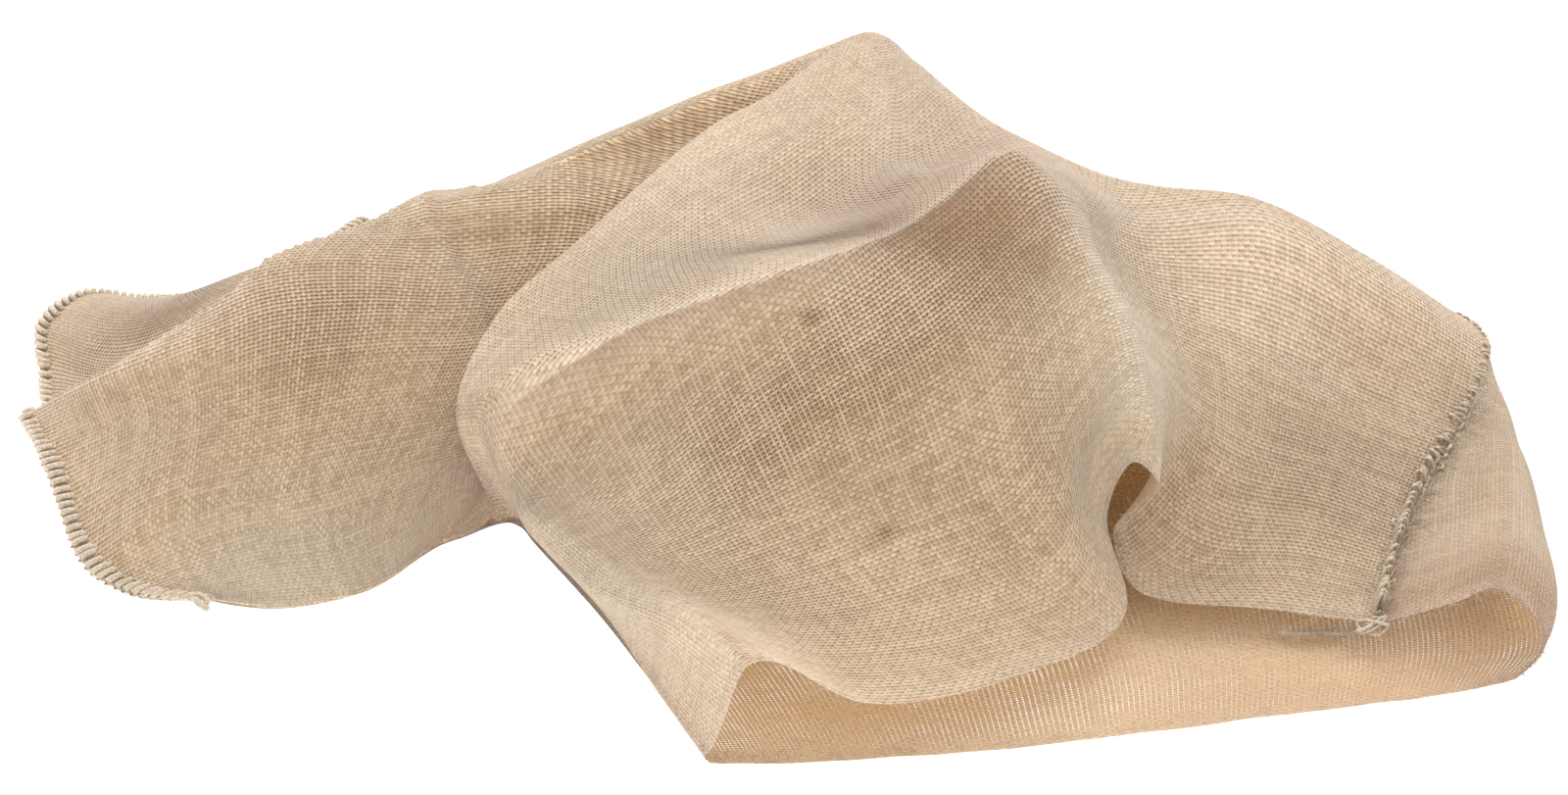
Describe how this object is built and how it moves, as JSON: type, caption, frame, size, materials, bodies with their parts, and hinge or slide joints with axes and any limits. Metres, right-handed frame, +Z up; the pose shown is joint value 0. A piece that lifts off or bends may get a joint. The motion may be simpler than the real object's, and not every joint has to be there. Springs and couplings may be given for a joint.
{
  "type": "jute sack",
  "caption": "Empty jute sack lying crumpled on its side, its open mouth to the front, with overcast yarn along the closed bottom and the side seam.",
  "frame": {"origin": "middle of the footprint, on the surface that the sack lies on", "axes": "+X from the stitched bottom at the left to the right side of the mouth, +Y away from the open mouth, +Z up"},
  "size_m": [0.7826, 0.545, 0.187],
  "materials": {
    "jute_cloth": "open plain weave of coarse undyed jute, pale brown and hairy",
    "jute_yarn": "soft undyed overcasting yarn, a little greyer than the cloth"
  },
  "bodies": {
    "root": {"sack_cloth": "jute_cloth", "bottom_overcast": "jute_yarn", "side_overcast": "jute_yarn"}
  },
  "joints": []
}
